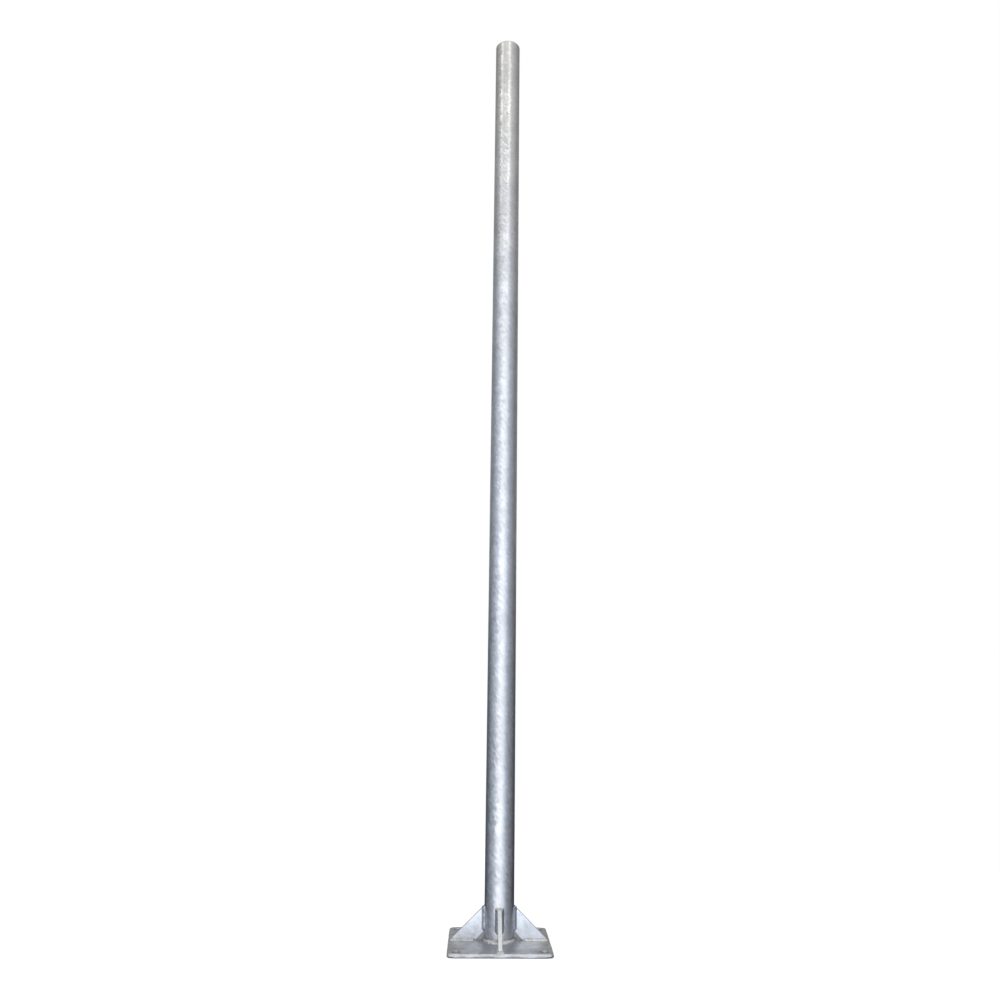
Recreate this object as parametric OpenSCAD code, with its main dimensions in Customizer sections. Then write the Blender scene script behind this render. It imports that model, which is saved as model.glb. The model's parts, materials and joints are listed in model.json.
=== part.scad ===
// Hot-dip galvanised steel camera pole. One round tube stands on a square base
// plate, four snipped gussets brace it, and each weld bead is its own piece.
// The origin is the centre of the plate's underside. Front is -Y, right is +X.

/* [Pole tube] */
// Height from the ground to the open top of the tube
pole_h = 3100; // [2000:50:4500]
// Outside diameter of the tube
tube_d = 88.9; // [70:0.1:114.3]
// Wall thickness of the tube
tube_wall = 4; // [2.5:0.1:8]

/* [Base plate] */
// Side of the square plate
plate_w = 300; // [240:5:450]
// Thickness of the plate
plate_t = 12; // [8:1:25]
// Radius of the plate's corners
plate_corner_r = 10; // [2:1:20]
// Diameter of the cable hole under the tube
cable_hole_d = 60; // [20:1:60]

/* [Anchor holes] */
// Diameter of each anchor hole
anchor_hole_d = 22; // [12:1:30]
// Distance from each hole's centre to the plate's two nearest edges
anchor_edge = 25; // [20:1:40]

/* [Gussets] */
// Thickness of each gusset
gusset_t = 12; // [8:1:20]
// Height of each gusset above the plate
gusset_rise = 90; // [60:1:160]
// Distance from the gusset's toe to the plate's edge
gusset_setback = 10; // [10:0.5:30]
// Flat left at the gusset's top, beside the tube
gusset_nose = 5; // [3:0.5:10]
// Flat left at the gusset's toe, above the plate
gusset_toe = 5; // [3:0.5:10]
// Corner cut off the gusset to clear the weld around the tube
gusset_snipe = 25; // [15:1:32]

/* [Welds] */
// Leg of the bead around the foot of the tube
ring_leg = 8; // [4:0.5:10]
// Leg of the beads between gusset and tube
tube_leg = 8; // [4:0.5:10]
// Leg of the beads between gusset and plate
plate_leg = 7; // [4:0.5:9]
// Distance that each bead's arc centre lies behind both faces of its corner
bead_sink = 4; // [2:0.5:4.5]

/* [Hidden] */
SIDES = ["right", "back", "left", "front"];
BEADS = ["tube_left", "tube_right", "top", "plate_left", "plate_right", "toe"];

$fn = 96;
// How far a cut runs past the face that it opens
cut_over = 1;
tube_r = tube_d / 2;
anchor_offset = plate_w / 2 - anchor_edge;
// Where a gusset's side faces meet the round tube
cope_x = sqrt(pow(tube_r, 2) - pow(gusset_t / 2, 2));
gusset_top = plate_t + gusset_rise;
gusset_end = plate_w / 2 - gusset_setback;

tube_tone = [0.66, 0.69, 0.73];
plate_tone = [0.60, 0.62, 0.64];
gusset_tone = [0.78, 0.80, 0.82];
weld_tone = [0.68, 0.66, 0.62];

// Outline of the plate: two crossed rectangles and four round corners
module plate_outline() {
    straight = plate_w - 2 * plate_corner_r;
    square([plate_w, straight], center = true);
    square([straight, plate_w], center = true);
    for (x = [-1, 1], y = [-1, 1])
        translate([x, y] * straight / 2) circle(r = plate_corner_r);
}

module base_plate() {
    color(plate_tone) difference() {
        linear_extrude(plate_t) plate_outline();
        for (x = [-1, 1], y = [-1, 1])
            translate([x * anchor_offset, y * anchor_offset, -cut_over])
                cylinder(d = anchor_hole_d, h = plate_t + 2 * cut_over);
        translate([0, 0, -cut_over])
            cylinder(d = cable_hole_d, h = plate_t + 2 * cut_over);
    }
}

// The tube stands on the plate and is open at its top
module pole_tube() {
    color(tube_tone) translate([0, 0, plate_t]) difference() {
        cylinder(r = tube_r, h = pole_h - plate_t);
        translate([0, 0, -cut_over])
            cylinder(r = tube_r - tube_wall, h = pole_h - plate_t + 2 * cut_over);
    }
}

// Space that the tube takes up beside a gusset
module tube_space() {
    cylinder(r = tube_r, h = gusset_top + 2 * tube_leg);
}

// A side plate along +X, with its inner edge coped to the tube
module gusset_body() {
    inner_x = cope_x - cut_over;
    difference() {
        rotate([90, 0, 0]) linear_extrude(gusset_t, center = true) polygon([
            [tube_r + gusset_snipe, plate_t],
            [gusset_end, plate_t],
            [gusset_end, plate_t + gusset_toe],
            [tube_r + gusset_nose, gusset_top],
            [inner_x, gusset_top],
            [inner_x, plate_t + gusset_snipe + tube_r - inner_x]]);
        tube_space();
    }
}

module gusset() {
    color(gusset_tone) gusset_body();
}

// Radius of a convex bead whose toes are one leg away from its corner
function bead_r(leg) = norm([leg + bead_sink, bead_sink]);

// Section of a bead above one flat face, with its corner at the origin. It is
// left long on the other side, which is cut away later.
module bead_half(leg) {
    intersection() {
        translate([-bead_sink, -bead_sink]) circle(r = bead_r(leg));
        translate([-2 * leg, 0]) square([4 * leg, 2 * leg]);
    }
}

// Section of a bead in the open quarter between two flat faces
module bead_quarter(leg) {
    intersection() {
        bead_half(leg);
        square(2 * leg);
    }
}

// Half of a ball, on the +Y side of its own flat face
module half_ball(r) {
    rotate([-90, 0, 0]) rotate_extrude() intersection() {
        circle(r = r);
        square(2 * r);
    }
}

// A bead across the gusset's thickness, with a half ball at each end. Its
// middle line lies behind the corner between the gusset and the other face.
module bead_across(leg) {
    reach = gusset_t / 2 - bead_sink;
    if (reach > 0)
        rotate([90, 0, 0]) cylinder(r = bead_r(leg), h = 2 * reach, center = true);
    for (flip = [0, 1])
        mirror([0, flip, 0]) translate([0, reach, 0]) half_ball(bead_r(leg));
}

// Bead all round the foot of the tube, through the gussets' snipes
module weld_tube_base() {
    color(weld_tone) translate([0, 0, plate_t])
        rotate_extrude() translate([tube_r, 0]) bead_quarter(ring_leg);
}

// Upright bead between the tube and a gusset's +Y face, up to the nose's bead
module weld_tube() {
    color(weld_tone) translate([0, 0, plate_t + gusset_snipe])
        linear_extrude(gusset_rise - gusset_snipe - bead_sink) difference() {
            translate([cope_x, gusset_t / 2]) bead_half(tube_leg);
            circle(r = tube_r);
        }
}

// Bead over a gusset's nose, down to both upright beads
module weld_top() {
    color(weld_tone) difference() {
        translate([cope_x - bead_sink, 0, gusset_top - bead_sink]) difference() {
            bead_across(tube_leg);
            translate([-2 * tube_r, -tube_r, -2 * tube_r]) cube([4, 2, 2] * tube_r);
        }
        tube_space();
        gusset_body();
    }
}

// Bead between the plate and a gusset's +Y face, from the snipe to the toe's bead
module weld_plate() {
    color(weld_tone) translate([tube_r + gusset_snipe, gusset_t / 2, plate_t])
        rotate([90, 0, 90])
            linear_extrude(gusset_end - bead_sink - tube_r - gusset_snipe)
                bead_quarter(plate_leg);
}

// Bead round a gusset's toe, back to both plate beads
module weld_toe() {
    color(weld_tone) difference() {
        translate([gusset_end - bead_sink, 0, plate_t - bead_sink])
            bead_across(plate_leg);
        translate([gusset_end - bead_sink - 2 * plate_w, -plate_w, 0])
            cube([2, 2, 1] * plate_w);
        translate([-plate_w, -plate_w, plate_t - plate_w]) cube([2, 2, 1] * plate_w);
        gusset_body();
    }
}

// One bead of a gusset by its name. Left is -Y, seen from outside the pole.
module gusset_bead(bead) {
    if (bead == "tube_left") mirror([0, 1, 0]) weld_tube();
    if (bead == "tube_right") weld_tube();
    if (bead == "top") weld_top();
    if (bead == "plate_left") mirror([0, 1, 0]) weld_plate();
    if (bead == "plate_right") weld_plate();
    if (bead == "toe") weld_toe();
}

base_plate();
pole_tube();
weld_tube_base();
for (i = [0:len(SIDES) - 1]) {
    rotate([0, 0, 90 * i]) gusset();
    for (bead = BEADS)
        rotate([0, 0, 90 * i]) gusset_bead(bead);
}
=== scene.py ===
"""Looks of a hot-dip galvanised camera pole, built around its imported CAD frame.

Lengths are in metres. X is right, -Y faces the camera and Z is up. Every size that the frame holds is
read from it, and each named piece replaces the plain CAD solid of the same part.
"""
import json
import math

import bmesh
import bpy
from mathutils import Matrix, Vector, noise


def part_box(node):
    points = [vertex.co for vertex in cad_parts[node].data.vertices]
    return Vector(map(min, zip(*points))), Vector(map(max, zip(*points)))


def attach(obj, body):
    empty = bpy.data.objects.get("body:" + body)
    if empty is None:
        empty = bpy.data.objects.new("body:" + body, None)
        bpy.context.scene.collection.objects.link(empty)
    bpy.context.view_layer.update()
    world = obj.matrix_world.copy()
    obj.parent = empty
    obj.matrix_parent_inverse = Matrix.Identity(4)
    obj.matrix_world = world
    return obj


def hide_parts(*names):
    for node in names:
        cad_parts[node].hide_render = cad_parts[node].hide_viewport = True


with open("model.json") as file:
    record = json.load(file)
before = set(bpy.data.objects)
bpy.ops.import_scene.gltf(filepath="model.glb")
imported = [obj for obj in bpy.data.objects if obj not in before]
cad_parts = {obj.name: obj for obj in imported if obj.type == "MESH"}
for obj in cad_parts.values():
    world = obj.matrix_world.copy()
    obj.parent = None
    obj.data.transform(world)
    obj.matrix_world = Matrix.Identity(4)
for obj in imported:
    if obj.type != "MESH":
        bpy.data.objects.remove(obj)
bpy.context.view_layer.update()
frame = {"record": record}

MM = 0.001
SIDES = ("right", "back", "left", "front")

# ---------------------------------------------------------------- sizes from the frame


def mount(name):
    """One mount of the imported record."""
    return next(m for m in frame["record"]["mounts"] if m["name"] == name)


plate_low, plate_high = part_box("base_plate")
tube_low, tube_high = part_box("pole_tube")
gusset_low, gusset_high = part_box("gusset_right")

PLATE_HALF = plate_high.x
PLATE_T = plate_high.z
TUBE_R = tube_high.x
TUBE_TOP = tube_high.z
BORE_R = mount("top_socket")["dims"]["r_mm"] * MM
CABLE_R = mount("cable_entry")["dims"]["r_mm"] * MM
ANCHOR_R = mount("anchor_bolts")["dims"]["hole_r_mm"] * MM
ANCHOR_OFFSET = mount("anchor_bolts")["dims"]["spacing_x_mm"] / 2 * MM
GUSSET_T = gusset_high.y - gusset_low.y
GUSSET_TOP = gusset_high.z
GUSSET_END = gusset_high.x
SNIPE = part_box("weld_right_plate_left")[0].x - TUBE_R
COPE_X = math.sqrt(TUBE_R ** 2 - (GUSSET_T / 2) ** 2)
RING_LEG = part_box("weld_tube_base")[1].z - PLATE_T
TUBE_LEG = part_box("weld_right_tube_right")[1].x - COPE_X
PLATE_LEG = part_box("weld_right_plate_right")[1].z - PLATE_T

# Sizes that no box gives
PLATE_CORNER_R = 10 * MM
NOSE = 5 * MM
TOE = 5 * MM

# ---------------------------------------------------------------- meshes


def smooth_step(low, high, value):
    """0 below low, 1 above high, with an even turn between."""
    t = min(max((value - low) / (high - low), 0.0), 1.0)
    return t * t * (3 - 2 * t)


def finish_piece(bm, name, replaced, material):
    """Makes the mesh an object that rides on the pole and stands for its CAD nodes."""
    bmesh.ops.recalc_face_normals(bm, faces=bm.faces)
    mesh = bpy.data.meshes.new(name)
    bm.to_mesh(mesh)
    bm.free()
    mesh.materials.append(material)
    piece = bpy.data.objects.new(name, mesh)
    bpy.context.scene.collection.objects.link(piece)
    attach(piece, "root")
    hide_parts(*replaced)
    return piece


def add_grid(bm, rows, wrap_rows, wrap_columns):
    """Quads between rows of points. Returns the rows of vertices."""
    made = [[bm.verts.new(p) for p in row] for row in rows]
    row_pairs = list(zip(made, made[1:])) + ([(made[-1], made[0])] if wrap_rows else [])
    for low, high in row_pairs:
        count = len(low)
        for i in range(count if wrap_columns else count - 1):
            j = (i + 1) % count
            face = bm.faces.new((low[i], low[j], high[j], high[i]))
            face.smooth = True
    return made


def fill_between(bm, loops):
    """Flat faces between one outer loop of vertices and any hole loops."""
    edges = []
    for loop in loops:
        for a, b in zip(loop, loop[1:] + loop[:1]):
            edges.append(bm.edges.get((a, b)) or bm.edges.new((a, b)))
    bmesh.ops.triangle_fill(bm, use_beauty=True, use_dissolve=False, edges=edges)


def rounded_loop(corners, radius, step):
    """Points and outward normals round a convex outline, anticlockwise, with its corners rounded."""
    points, normals = [], []
    count = len(corners)
    for i, corner in enumerate(corners):
        corner = Vector(corner)
        before = (corner - Vector(corners[i - 1])).normalized()
        after = (Vector(corners[(i + 1) % count]) - corner).normalized()
        turn = before.angle(after)
        trim = radius * math.tan(turn / 2)
        start = corner - before * trim
        inward = Vector((-before.y, before.x))
        centre = start + inward * radius
        arc_steps = max(3, round(turn / math.radians(12)))
        heading = math.atan2(-inward.y, -inward.x)
        for k in range(arc_steps + 1):
            angle = heading + turn * k / arc_steps
            normal = Vector((math.cos(angle), math.sin(angle)))
            points.append(centre + normal * radius)
            normals.append(normal)
        following = Vector(corners[(i + 1) % count])
        nearby = Vector(corners[(i + 2) % count])
        turn_next = after.angle((nearby - following).normalized())
        run_end = following - after * radius * math.tan(turn_next / 2)
        run_start = points[-1]
        pieces = max(1, round((run_end - run_start).length / step))
        for k in range(1, pieces):
            points.append(run_start.lerp(run_end, k / pieces))
            normals.append(Vector((after.y, -after.x)))
    return points, normals


def circle_loop(centre, radius, count):
    """Points round a hole, with normals that point out of the steel, into the hole."""
    points, normals = [], []
    for k in range(count):
        angle = 2 * math.pi * k / count
        outward = Vector((math.cos(angle), math.sin(angle)))
        points.append(Vector(centre) + outward * radius)
        normals.append(-outward)
    return points, normals


def slab_profile(thickness, fillet, wall_rows):
    """(inset, height) pairs from the bottom face to the top face, with rounded edges."""
    steps = 4
    quarter = [math.pi / 2 * k / steps for k in range(steps + 1)]
    lower = [(fillet * (1 - math.sin(a)), fillet * (1 - math.cos(a))) for a in quarter]
    upper = [(inset, thickness - height) for inset, height in reversed(lower)]
    wall = [(0.0, fillet + (thickness - 2 * fillet) * k / wall_rows) for k in range(1, wall_rows)]
    return lower + wall + upper


def add_slab(bm, loops, thickness, fillet, wall_rows):
    """A flat slab with rounded edges. The first loop is its outline and the others are holes.

    Each loop comes with a function that gives how far a wall point lies inside the true wall."""
    profile = slab_profile(thickness, fillet, wall_rows)
    bottoms, tops = [], []
    for (points, normals), wobble in loops:
        rows = []
        for inset, height in profile:
            rows.append([
                (p - n * (inset + wobble(p, n, height))).to_3d() + Vector((0, 0, height))
                for p, n in zip(points, normals)])
        made = add_grid(bm, rows, False, True)
        bottoms.append(made[0])
        tops.append(made[-1])
    fill_between(bm, bottoms)
    fill_between(bm, tops)


# ---------------------------------------------------------------- plate, tube and gussets


def build_plate(material):
    """The base plate: a lumpy, faintly bulging rim, soft zinc-filled edges and worn corners."""
    fillet = 1.4 * MM
    lump = 0.5 * MM
    bulge = 1.5 * MM
    hole_flare = 2.0 * MM
    corner_wear = 4.0 * MM
    corner_reach = 26 * MM
    half = PLATE_HALF
    corner = Vector((half, half))

    def wobble(point, normal, height):
        place = Vector((point.x, point.y, height * 0.8))
        rough = 0.6 * noise.noise(place * 70) + 0.4 * noise.noise(place * 210)
        crest = 0.5 + 0.3 * noise.noise(Vector((point.x, point.y, 0.5)) * 45)
        off_crest = 2 * max(height / PLATE_T - crest, 0.8 * (crest - height / PLATE_T))
        to_corner = (corner - Vector((abs(point.x), abs(point.y)))).length
        near_corner = 1 - smooth_step(0.3 * corner_reach, corner_reach, to_corner)
        off_middle = abs(2 * height / PLATE_T - 1)
        return (lump * (0.5 + 0.5 * rough) + bulge * min(off_crest ** 2, 1)
                + corner_wear * near_corner * off_middle ** 3)

    def hole_wobble(point, normal, height):
        off_middle = abs(2 * height / PLATE_T - 1)
        rough = noise.noise(Vector((point.x, point.y, height)) * 150)
        return lump * (0.5 + 0.5 * rough) + hole_flare * off_middle ** 4

    outer = rounded_loop([(-half, -half), (half, -half), (half, half), (-half, half)],
                         PLATE_CORNER_R, 2 * MM)
    holes = [circle_loop((x * ANCHOR_OFFSET, y * ANCHOR_OFFSET), ANCHOR_R, 48)
             for x in (-1, 1) for y in (-1, 1)]
    holes.append(circle_loop((0, 0), CABLE_R, 72))
    bm = bmesh.new()
    add_slab(bm, [(outer, wobble)] + [(hole, hole_wobble) for hole in holes], PLATE_T, fillet, 8)
    return finish_piece(bm, "plate", ["base_plate"], material)


def build_gusset(index, material):
    """One side plate, set into the tube's wall where the weld hides its edge."""
    fillet = 1.1 * MM
    lump = 0.25 * MM
    inner_x = COPE_X - 1 * MM

    def wobble(point, normal, height):
        place = Vector((point.x, point.y, height)) * 120 + Vector((0, 0, 17.0 * index))
        return lump * (0.5 + 0.5 * noise.noise(place))

    corners = [
        (TUBE_R + SNIPE, PLATE_T),
        (GUSSET_END, PLATE_T),
        (GUSSET_END, PLATE_T + TOE),
        (TUBE_R + NOSE, GUSSET_TOP),
        (inner_x, GUSSET_TOP),
        (inner_x, PLATE_T + SNIPE + TUBE_R - inner_x)]
    outer = rounded_loop(corners, 1 * MM, 3 * MM)
    bm = bmesh.new()
    add_slab(bm, [(outer, wobble)], GUSSET_T, fillet, 4)
    stand_up = Matrix.Rotation(math.pi / 2, 4, "X") @ Matrix.Translation((0, 0, -GUSSET_T / 2))
    bm.transform(Matrix.Rotation(math.pi / 2 * index, 4, "Z") @ stand_up)
    side = SIDES[index]
    return finish_piece(bm, "side_plate_" + side, ["gusset_" + side], material)


def build_tube(material):
    """The tube: a faintly uneven zinc skin, a rounded rim and the rolled seam's ridge inside."""
    around = 144
    row_step = 12 * MM
    rim = 1.0 * MM
    skin = 0.12 * MM
    seam_angle = math.radians(115)
    seam_ridge = 0.7 * MM
    seam_width = math.radians(2.2)

    def off_seam(angle):
        return math.exp(-((angle - seam_angle) / seam_width) ** 2)

    def outer_radius(angle, z):
        place = Vector((math.cos(angle) * 2.2, math.sin(angle) * 2.2, z * 18))
        return TUBE_R - skin * (0.5 + 0.5 * noise.noise(place)) - 0.1 * MM * off_seam(angle)

    def inner_radius(angle):
        return BORE_R - seam_ridge * off_seam(angle)

    def ring(z, radius_at):
        row = []
        for k in range(around):
            angle = 2 * math.pi * k / around
            radius = radius_at(angle)
            row.append((radius * math.cos(angle), radius * math.sin(angle), z))
        return row

    wall_rows = round((TUBE_TOP - rim - PLATE_T) / row_step)
    rows = []
    for k in range(wall_rows + 1):
        z = PLATE_T + (TUBE_TOP - rim - PLATE_T) * k / wall_rows
        rows.append(ring(z, lambda angle, z=z: outer_radius(angle, z)))
    turns = [math.pi / 2 * k / 4 for k in range(1, 5)]
    for a in turns:
        z = TUBE_TOP - rim * (1 - math.sin(a))
        rows.append(ring(z, lambda angle, a=a: outer_radius(angle, TUBE_TOP) - rim * (1 - math.cos(a))))
    for a in reversed(turns):
        z = TUBE_TOP - rim * (1 - math.sin(a))
        rows.append(ring(z, lambda angle, a=a: inner_radius(angle) + rim * (1 - math.cos(a))))
    for k in range(13):
        z = TUBE_TOP - rim - (TUBE_TOP - rim - PLATE_T) * k / 12
        rows.append(ring(z, inner_radius))
    bm = bmesh.new()
    add_grid(bm, rows, True, True)
    return finish_piece(bm, "tube", ["pole_tube"], material)


# ---------------------------------------------------------------- weld beads

# Depth of a bead's arc centre behind its corner, for each unit of leg
BEAD_SINK = 0.5
# Distance from a gusset's nose or toe to where the frame splits its beads
BEAD_SPLIT = GUSSET_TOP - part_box("weld_right_tube_right")[1].z
# Distance between two ripples along a bead, and how deep the valley between them is
RIPPLE_PITCH = 5.0 * MM
RIPPLE_DEPTH = 1.0 * MM
# Distance between two sections along a bead, and the points round each section's arc
STATION_STEP = 0.6 * MM
ARC_POINTS = 13


class Station:
    """One cross-section of a bead: its corner, a unit vector and a leg along each of the two faces."""

    def __init__(self, root, along_a, along_b, leg_a, leg_b):
        self.root = Vector(root)
        self.a = Vector(along_a).normalized()
        self.b = Vector(along_b).normalized()
        self.leg_a = leg_a
        self.leg_b = leg_b


def bead_rows(stations, seat, seed, tapers):
    """Rows of points round each station. tapers are the lengths over which the two ends swell up."""
    radius = math.hypot(1 + BEAD_SINK, BEAD_SINK)
    first = math.atan2(BEAD_SINK, 1 + BEAD_SINK)
    last = math.pi / 2 - first
    travel, places = 0.0, [0.0]
    for before, after in zip(stations, stations[1:]):
        middle_before = before.root + (before.a * before.leg_a + before.b * before.leg_b) / 2
        middle_after = after.root + (after.a * after.leg_a + after.b * after.leg_b) / 2
        travel += (middle_after - middle_before).length
        places.append(travel)
    rows = []
    for station, s in zip(stations, places):
        swell = 1.0
        if tapers[0]:
            swell *= 0.45 + 0.55 * smooth_step(0, tapers[0], s)
        if tapers[1]:
            swell *= 0.45 + 0.55 * smooth_step(0, tapers[1], travel - s)
        sway_a = 1 + 0.09 * noise.noise(Vector((s * 110, seed, 0.0)))
        sway_b = 1 + 0.09 * noise.noise(Vector((s * 110, seed, 9.0)))
        leg_a, leg_b = station.leg_a * swell * sway_a, station.leg_b * swell * sway_b
        row = [seat(station, -0.1 * leg_a, -0.1 * leg_b), seat(station, -0.1 * leg_a, leg_b)]
        for k in range(ARC_POINTS):
            u = k / (ARC_POINTS - 1)
            angle = first + (last - first) * u
            bow = 1 - (2 * u - 1) ** 2
            phase = (s - 0.55 * RIPPLE_PITCH * bow) / RIPPLE_PITCH
            valley = 1 - abs(math.sin(math.pi * phase)) ** 0.8
            grain = 0.25 * noise.noise(Vector((s * 900, u * 4, seed)))
            depth = RIPPLE_DEPTH * (valley * (0.7 + grain) + 0.15) * (0.25 + 0.75 * bow)
            out_a = (-BEAD_SINK + radius * math.sin(angle)) * leg_a - depth * math.sin(angle)
            out_b = (-BEAD_SINK + radius * math.cos(angle)) * leg_b - depth * math.cos(angle)
            row.append(seat(station, out_a, out_b))
        row.append(seat(station, leg_a, -0.1 * leg_b))
        rows.append(row)
    return rows


def flat_seat(station, out_a, out_b):
    """A point of a bead between two flat faces."""
    return station.root + station.a * out_a + station.b * out_b


def tube_seat(station, out_a, out_b):
    """A point of a bead whose first face is the round tube."""
    on_tube = station.root + station.a * out_a
    flat = math.hypot(on_tube.x, on_tube.y)
    on_tube.x *= TUBE_R / flat
    on_tube.y *= TUBE_R / flat
    return on_tube + station.b * out_b


def add_bead(bm, rows, turn, closed=False):
    """A closed mesh through the rows of one bead, turned to its side of the pole."""
    made = add_grid(bm, [[turn @ p for p in row] for row in rows], closed, True)
    if not closed:
        for row in (made[0], made[-1]):
            bm.faces.new(row).smooth = True


def steps_between(start, end, step):
    """Evenly spaced values from start to end, both included."""
    count = max(1, round(abs(end - start) / step))
    return [start + (end - start) * k / count for k in range(count + 1)]


def mirrored(stations):
    """The same stations on a gusset's other face, in the opposite order."""
    flip = Vector((1, -1, 1))
    return [Station(s.root * flip, s.a * flip, s.b * flip, s.leg_a, s.leg_b)
            for s in reversed(stations)]


def tube_bead_stations():
    """Up one face of a gusset, over its nose and down the other face, in three runs."""
    y = GUSSET_T / 2
    split = GUSSET_TOP - BEAD_SPLIT
    nose_leg = NOSE + 0.6 * MM
    cap_leg = 0.7 * TUBE_LEG
    radial = Vector((1, 0, 0))
    droop = Vector((1, 0, -0.4))

    def upright(z):
        return Station((COPE_X, -y, z), (0, -1, 0), radial, TUBE_LEG, TUBE_LEG)

    up = [upright(z) for z in steps_between(PLATE_T + SNIPE, split, STATION_STEP)]
    corner = [upright(z) for z in steps_between(split, GUSSET_TOP, STATION_STEP)[1:]]
    for angle in steps_between(0, math.pi / 2, 2 * STATION_STEP / TUBE_LEG)[1:]:
        share = smooth_step(0, math.pi / 2, angle)
        corner.append(Station((COPE_X, -y, GUSSET_TOP), (0, -math.cos(angle), math.sin(angle)),
                              radial.lerp(droop, share),
                              TUBE_LEG + (cap_leg - TUBE_LEG) * share,
                              TUBE_LEG + (nose_leg - TUBE_LEG) * share))
    across = [Station((math.sqrt(TUBE_R ** 2 - w ** 2), w, GUSSET_TOP), (0, 0, 1), droop,
                      cap_leg, nose_leg)
              for w in steps_between(-y, y, STATION_STEP)[1:-1]]
    return up, corner + across + mirrored(corner), mirrored(up)


def plate_bead_stations():
    """Out along one face of a gusset, round its toe and back along the other face, in three runs."""
    y = GUSSET_T / 2
    split = GUSSET_END - BEAD_SPLIT
    slope = (GUSSET_TOP - PLATE_T - TOE) / (GUSSET_END - TUBE_R - NOSE)
    upright = Vector((0, 0, 1))
    lean = Vector((-0.3, 0, 1))

    def leg_up(x):
        return min(PLATE_LEG, TOE + (GUSSET_END - x) * slope + 0.9 * MM)

    def along(x):
        return Station((x, -y, PLATE_T), upright, (0, -1, 0), leg_up(x), PLATE_LEG)

    toe_leg = leg_up(GUSSET_END)
    out = [along(x) for x in steps_between(TUBE_R + SNIPE, split, STATION_STEP)]
    corner = [along(x) for x in steps_between(split, GUSSET_END, STATION_STEP)[1:]]
    for angle in steps_between(0, math.pi / 2, 2 * STATION_STEP / PLATE_LEG)[1:]:
        share = smooth_step(0, math.pi / 2, angle)
        corner.append(Station((GUSSET_END, -y, PLATE_T), upright.lerp(lean, share),
                              (math.sin(angle), -math.cos(angle), 0), toe_leg, PLATE_LEG))
    across = [Station((GUSSET_END, w, PLATE_T), lean, (1, 0, 0), toe_leg, PLATE_LEG)
              for w in steps_between(-y, y, STATION_STEP)[1:-1]]
    return out, corner + across + mirrored(corner), mirrored(out)


def build_wrapped_bead(index, runs, seat, names, seed, material):
    """Three neighbouring pieces of one continuous bead, split where the CAD pieces meet."""
    turn = Matrix.Rotation(math.pi / 2 * index, 3, "Z")
    joined = runs[0] + runs[1] + runs[2]
    rows = bead_rows(joined, seat, seed, (7 * MM, 7 * MM))
    first_end = len(runs[0])
    second_end = first_end + len(runs[1])
    spans = (rows[:first_end], rows[first_end - 1:second_end + 1], rows[second_end:])
    for name, span in zip(names, spans):
        bm = bmesh.new()
        add_bead(bm, span, turn)
        node = "weld_" + SIDES[index] + "_" + name
        finish_piece(bm, "bead_" + SIDES[index] + "_" + name, [node], material)


def build_ring_bead(material):
    """The bead round the foot of the tube."""
    length = 2 * math.pi * (TUBE_R + RING_LEG / 2)
    count = round(length / STATION_STEP)
    stations = []
    for k in range(count):
        angle = 2 * math.pi * k / count
        outward = Vector((math.cos(angle), math.sin(angle), 0))
        stations.append(Station(outward * TUBE_R + Vector((0, 0, PLATE_T)), (0, 0, 1), outward,
                                RING_LEG, RING_LEG))
    rows = bead_rows(stations, flat_seat, 3.3, (0, 0))
    bm = bmesh.new()
    add_bead(bm, rows, Matrix.Identity(3), closed=True)
    return finish_piece(bm, "bead_tube_base", ["weld_tube_base"], material)


# ---------------------------------------------------------------- materials


def add_node(tree, kind, inputs=None, **settings):
    """A shader node. An input given as a socket is linked, and any other value is set."""
    made = tree.nodes.new(kind)
    for name, value in settings.items():
        setattr(made, name, value)
    for name, value in (inputs or {}).items():
        if isinstance(value, bpy.types.NodeSocket):
            tree.links.new(value, made.inputs[name])
        else:
            made.inputs[name].default_value = value
    return made


def math_node(tree, operation, first, second=0.0):
    """The result of one Math node."""
    return add_node(tree, "ShaderNodeMath", {0: first, 1: second}, operation=operation).outputs[0]


def remap(tree, value, from_low, from_high, to_low, to_high):
    """value moved from one range to another, and held inside it."""
    made = add_node(tree, "ShaderNodeMapRange", {
        "Value": value, "From Min": from_low, "From Max": from_high,
        "To Min": to_low, "To Max": to_high})
    return made.outputs[0]


def stretched(tree, scale, turn=(0, 0, 0)):
    """Object coordinates, turned and then scaled."""
    place = add_node(tree, "ShaderNodeTexCoord").outputs["Object"]
    turned = add_node(tree, "ShaderNodeMapping", {"Vector": place, "Rotation": turn})
    scaled = add_node(tree, "ShaderNodeMapping", {"Vector": turned.outputs[0], "Scale": scale})
    return scaled.outputs[0]


def noise_value(tree, vector, scale, detail=2.0, roughness=0.5):
    """A soft noise between about 0.3 and 0.7."""
    made = add_node(tree, "ShaderNodeTexNoise", {
        "Vector": vector, "Scale": scale, "Detail": detail, "Roughness": roughness})
    return made.outputs[0]


def spangle(tree, vector, scale):
    """One random number for each zinc crystal."""
    made = add_node(tree, "ShaderNodeTexVoronoi", {"Vector": vector, "Scale": scale}, feature="F1")
    return add_node(tree, "ShaderNodeSeparateColor", {0: made.outputs["Color"]}).outputs[0]


def colour_mix(tree, factor, first, second):
    """A blend of two colours, each given as a colour or as a socket."""
    made = add_node(tree, "ShaderNodeMix", {0: factor}, data_type="RGBA")
    for index, value in ((6, first), (7, second)):
        if isinstance(value, bpy.types.NodeSocket):
            tree.links.new(value, made.inputs[index])
        else:
            made.inputs[index].default_value = (*value, 1)
    return made.outputs[2]


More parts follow.
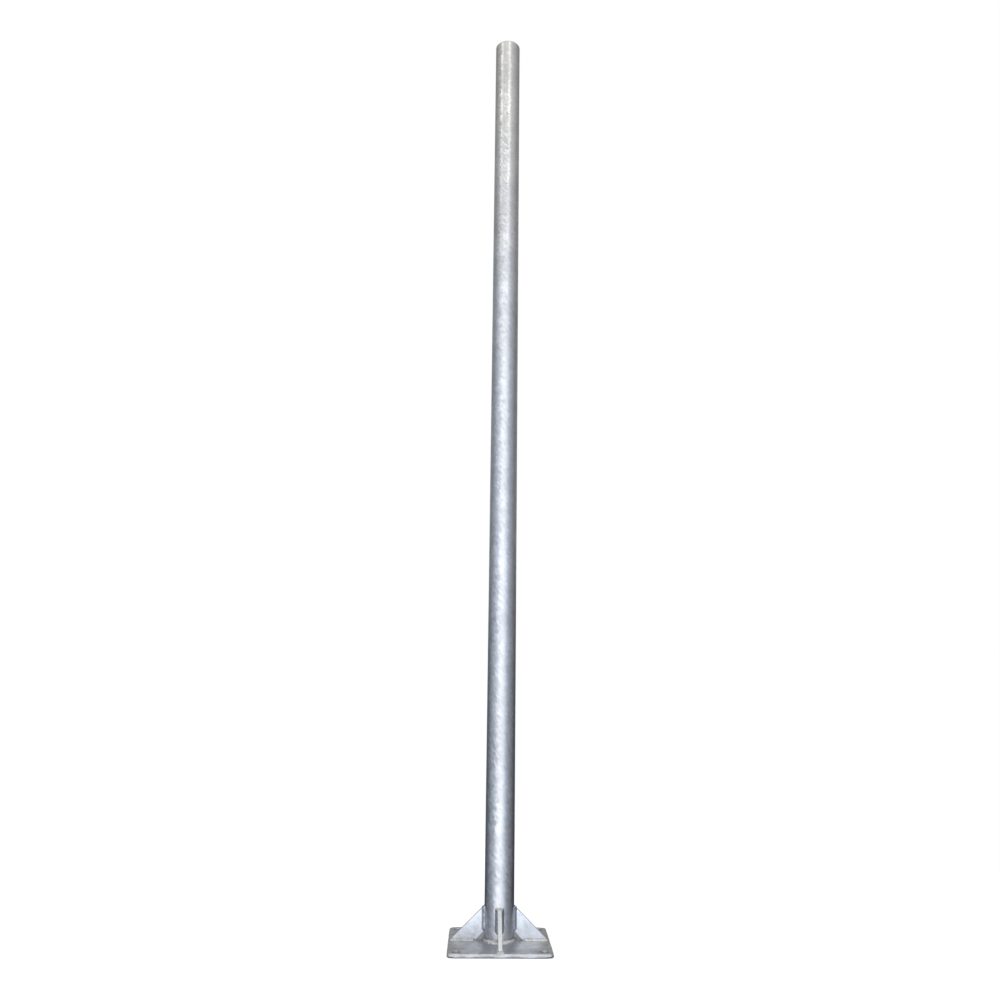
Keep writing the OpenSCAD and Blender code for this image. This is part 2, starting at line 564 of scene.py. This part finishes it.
def tilted_normal(tree, vector, scale, tilt):
    """The surface normal, leaning a little another way on each zinc crystal."""
    crystal = add_node(tree, "ShaderNodeTexVoronoi", {"Vector": vector, "Scale": scale}, feature="F1")
    lean = add_node(tree, "ShaderNodeVectorMath",
                    {0: crystal.outputs["Color"], 1: (0.5, 0.5, 0.5)}, operation="SUBTRACT")
    scaled = add_node(tree, "ShaderNodeVectorMath", {0: lean.outputs[0], "Scale": tilt},
                      operation="SCALE")
    plain = add_node(tree, "ShaderNodeNewGeometry").outputs["Normal"]
    leaning = add_node(tree, "ShaderNodeVectorMath", {0: plain, 1: scaled.outputs[0]}, operation="ADD")
    return add_node(tree, "ShaderNodeVectorMath", {0: leaning.outputs[0]},
                    operation="NORMALIZE").outputs[0]


def zinc(name, dark, light, crystal, stretch, turn, roughness, relief, tilt):
    """Galvanised steel: leaning crystals, clouds, fine grain and small ash specks."""
    material = bpy.data.materials.new(name)
    material.use_nodes = True
    tree = material.node_tree
    shader = tree.nodes["Principled BSDF"]
    along = stretched(tree, stretch, turn)
    plain = stretched(tree, (1, 1, 1))
    wander = add_node(tree, "ShaderNodeTexNoise", {"Vector": along, "Scale": 1.6 / crystal, "Detail": 2.0})
    ragged = add_node(tree, "ShaderNodeVectorMath",
                      {0: wander.outputs[1], 1: (crystal, crystal, crystal), 2: along},
                      operation="MULTIPLY_ADD").outputs[0]
    crystals = spangle(tree, ragged, 1 / crystal)
    small_crystals = spangle(tree, ragged, 2.3 / crystal)
    clouds = noise_value(tree, plain, 14, 4)
    strokes = noise_value(tree, along, 0.5 / crystal, 5, 0.65)
    grain = noise_value(tree, plain, 1400, 2)
    mixed = math_node(tree, "MULTIPLY", crystals, 0.28)
    mixed = math_node(tree, "ADD", mixed, math_node(tree, "MULTIPLY", small_crystals, 0.16))
    mixed = math_node(tree, "ADD", mixed, remap(tree, clouds, 0.35, 0.65, 0, 0.30))
    mixed = math_node(tree, "ADD", mixed, remap(tree, strokes, 0.3, 0.7, 0, 0.26))
    specks = remap(tree, noise_value(tree, plain, 160, 1), 0.76, 0.80, 0, 0.55)
    speckled = colour_mix(tree, specks, colour_mix(tree, mixed, dark, light), (0.12, 0.12, 0.13))
    tree.links.new(speckled, shader.inputs["Base Color"])
    rough = remap(tree, mixed, 0.2, 0.8, roughness + 0.06, roughness - 0.06)
    tree.links.new(rough, shader.inputs["Roughness"])
    shader.inputs["Metallic"].default_value = 1.0
    height = math_node(tree, "ADD", strokes, math_node(tree, "MULTIPLY", grain, 0.10))
    height = math_node(tree, "ADD", height, math_node(tree, "MULTIPLY", clouds, 0.5))
    leaning = tilted_normal(tree, ragged, 1 / crystal, tilt)
    bump = add_node(tree, "ShaderNodeBump",
                    {"Strength": 1.0, "Distance": relief, "Height": height, "Normal": leaning})
    tree.links.new(bump.outputs[0], shader.inputs["Normal"])
    return material


# ---------------------------------------------------------------- floor, light and camera


def build_floor():
    """A pale round floor that fades into the white surround."""
    radius, fade_start = 2.4, 1.1
    bm = bmesh.new()
    bmesh.ops.create_circle(bm, cap_ends=True, segments=96, radius=radius)
    mesh = bpy.data.meshes.new("floor")
    bm.to_mesh(mesh)
    bm.free()
    material = bpy.data.materials.new("pale floor")
    material.use_nodes = True
    tree = material.node_tree
    shader = tree.nodes["Principled BSDF"]
    shader.inputs["Base Color"].default_value = (0.93, 0.93, 0.94, 1)
    shader.inputs["Roughness"].default_value = 0.95
    shader.inputs["Specular IOR Level"].default_value = 0.0
    shader.inputs["Emission Color"].default_value = (1, 1, 1, 1)
    shader.inputs["Emission Strength"].default_value = 0.45
    place = add_node(tree, "ShaderNodeTexCoord").outputs["Object"]
    reach = add_node(tree, "ShaderNodeVectorMath", {0: place}, operation="LENGTH").outputs["Value"]
    seen = remap(tree, reach, fade_start, radius, 1, 0)
    tree.links.new(seen, shader.inputs["Alpha"])
    mesh.materials.append(material)
    floor = bpy.data.objects.new("floor", mesh)
    bpy.context.scene.collection.objects.link(floor)
    floor.visible_glossy = False
    floor.visible_shadow = False


# Brightness of the room at bearings round the pole: 0 is ahead, where the camera is, and 90 is right
WALLS = [
    (-180, (0.20, 0.21, 0.23)),
    (-125, (0.08, 0.12, 0.17)),
    (-85, (0.45, 0.47, 0.50)),
    (-50, (0.80, 0.90, 1.07)),
    (-18, (1.66, 1.70, 1.75)),
    (12, (1.51, 1.58, 1.70)),
    (45, (0.54, 0.62, 0.76)),
    (85, (0.32, 0.32, 0.33)),
    (125, (0.05, 0.06, 0.09)),
    (180, (0.20, 0.21, 0.23))]
# Extra light from low behind the pole, from high up all round, and from straight overhead
BEHIND = (0.25, 0.24, 0.23)
HIGH = (0.64, 0.60, 0.53)
OVERHEAD = (1.06, 1.04, 0.98)
# Name, bearing in degrees and power in watts of each ceiling lamp
LAMPS = (("lamp_left", -54, 7.0), ("lamp_right", 19, 9.2))


def add_panel(name, place, target, width, height, power, colour):
    """A soft rectangular lamp that points at target and isn't itself in view."""
    lamp = bpy.data.lights.new(name, "AREA")
    lamp.shape = "RECTANGLE"
    lamp.size = width
    lamp.size_y = height
    lamp.energy = power
    lamp.color = colour
    panel = bpy.data.objects.new(name, lamp)
    panel.location = place
    panel.rotation_euler = (Vector(target) - Vector(place)).to_track_quat("-Z", "Y").to_euler()
    panel.visible_camera = False
    bpy.context.scene.collection.objects.link(panel)


def level_between(tree, value, *edges):
    """1 inside a band of value that starts and ends softly over the four edges."""
    start, full, fade, end = edges
    rise = remap(tree, value, start, full, 0, 1)
    fall = remap(tree, value, fade, end, 1, 0)
    return math_node(tree, "MULTIPLY", rise, fall)


def build_surround():
    """White for the eye. What reflects it sees a room: cool walls all round, and a warm ceiling."""
    world = bpy.data.worlds.new("studio")
    world.use_nodes = True
    tree = world.node_tree
    tree.nodes.clear()
    direction = add_node(tree, "ShaderNodeTexCoord").outputs["Generated"]
    parts = add_node(tree, "ShaderNodeSeparateXYZ", {0: direction})
    right, back, up = parts.outputs
    front = math_node(tree, "MULTIPLY", back, -1.0)
    bearing_vector = add_node(tree, "ShaderNodeCombineXYZ", {0: front, 1: right})
    bearing = add_node(tree, "ShaderNodeTexGradient", {0: bearing_vector.outputs[0]},
                       gradient_type="RADIAL").outputs[0]
    ramp = add_node(tree, "ShaderNodeValToRGB", {0: bearing})
    elements = ramp.color_ramp.elements
    while len(elements) < len(WALLS):
        elements.new(0.5)
    for element, (degrees, colour) in zip(elements, WALLS):
        element.position = degrees / 360 + 0.5
        element.color = (*colour, 1)
    aside = remap(tree, front, 0.55, 0.95, 1, 0)
    near_ground = remap(tree, up, -0.02, -0.22, 0, 0.45)
    shade = math_node(tree, "SUBTRACT", 1.0, math_node(tree, "MULTIPLY", aside, near_ground))
    band = math_node(tree, "MULTIPLY", shade, level_between(tree, up, -0.75, -0.4, 0.45, 0.65))
    walls = add_node(tree, "ShaderNodeVectorMath", {0: ramp.outputs[0], "Scale": band},
                     operation="SCALE")
    total = walls.outputs[0]
    behind = math_node(tree, "MULTIPLY", remap(tree, back, 0.1, 0.7, 0, 1),
                       level_between(tree, up, 0.06, 0.18, 0.5, 0.7))
    high = math_node(tree, "MULTIPLY", remap(tree, front, -0.5, 0.4, 0.38, 1),
                     level_between(tree, up, 0.42, 0.6, 0.75, 0.9))
    overhead = remap(tree, up, 0.7, 0.9, 0, 1)
    for share, colour in ((behind, BEHIND), (high, HIGH), (overhead, OVERHEAD)):
        glow = add_node(tree, "ShaderNodeVectorMath", {0: colour, "Scale": share}, operation="SCALE")
        total = add_node(tree, "ShaderNodeVectorMath", {0: total, 1: glow.outputs[0]},
                         operation="ADD").outputs[0]
    room = add_node(tree, "ShaderNodeBackground", {0: total, 1: 1.0})
    white = add_node(tree, "ShaderNodeBackground", {0: (1, 1, 1, 1), 1: 1.0})
    seen = add_node(tree, "ShaderNodeLightPath").outputs["Is Camera Ray"]
    mixed = add_node(tree, "ShaderNodeMixShader", {0: seen, 1: room.outputs[0], 2: white.outputs[0]})
    out = add_node(tree, "ShaderNodeOutputWorld")
    tree.links.new(mixed.outputs[0], out.inputs[0])
    bpy.context.scene.world = world


def build_lights():
    """Two long warm ceiling lamps, one each side of the camera."""
    for name, bearing, power in LAMPS:
        angle = math.radians(bearing)
        place = (4 * math.sin(angle), -4 * math.cos(angle), 6.1)
        add_panel(name, place, (0, 0, 2.9), 0.30, 1.7, power, (1.0, 0.92, 0.70))


def build_camera():
    """The photograph's viewing angle: low, close, and tipped up along the pole."""
    place = Vector((-0.083, -2.760, 0.684))
    yaw, pitch, roll = 0.026, 0.235, 0.011
    forward = Vector((math.sin(yaw) * math.cos(pitch), math.cos(yaw) * math.cos(pitch), math.sin(pitch)))
    right = Vector((math.cos(yaw), -math.sin(yaw), 0))
    up = right.cross(forward)
    turned_right = math.cos(roll) * right + math.sin(roll) * up
    turned_up = math.cos(roll) * up - math.sin(roll) * right
    lens = bpy.data.cameras.new("camera")
    lens.lens = 30.88
    lens.sensor_width = 36.0
    camera = bpy.data.objects.new("camera", lens)
    axes = Matrix((turned_right, turned_up, -forward)).transposed()
    camera.matrix_world = Matrix.Translation(place) @ axes.to_4x4()
    bpy.context.scene.collection.objects.link(camera)
    bpy.context.scene.camera = camera


# ---------------------------------------------------------------- the scene


def build_pole():
    """Every piece of the pole."""
    diagonal = (0, math.radians(38), 0)
    tube_zinc = zinc("zinc on the tube", (0.45, 0.46, 0.48), (0.76, 0.77, 0.79), 5.5 * MM,
                     (1, 1, 0.4), diagonal, 0.33, 0.12 * MM, 0.12)
    plate_zinc = zinc("zinc on the plate", (0.35, 0.36, 0.38), (0.66, 0.67, 0.70), 14 * MM,
                      (1, 1, 1), (0, 0, 0), 0.44, 0.3 * MM, 0.07)
    # Painted light: the gussets get a lighter, bluer copy of the zinc, a painted reflection of the bright
    # cool light their flat faces catch
    gusset_zinc_painted_light = zinc("zinc on the gussets with painted light", (0.58, 0.61, 0.66), (0.80, 0.83, 0.88), 9 * MM,
                       (1, 1, 1), (0, 0, 0), 0.42, 0.15 * MM, 0.08)
    weld_zinc = zinc("zinc on the welds", (0.28, 0.29, 0.31), (0.78, 0.80, 0.84), 4 * MM,
                     (1, 1, 1), (0, 0, 0), 0.34, 0.3 * MM, 0.30)
    build_plate(plate_zinc)
    build_tube(tube_zinc)
    build_ring_bead(weld_zinc)
    for index in range(len(SIDES)):
        build_gusset(index, gusset_zinc_painted_light)
        build_wrapped_bead(index, tube_bead_stations(), tube_seat,
                           ("tube_left", "top", "tube_right"), 11.0 + index, weld_zinc)
        build_wrapped_bead(index, plate_bead_stations(), flat_seat,
                           ("plate_left", "toe", "plate_right"), 31.0 + index, weld_zinc)


build_camera()
build_surround()
build_lights()
build_floor()
build_pole()
bpy.context.scene.view_settings.view_transform = "Standard"
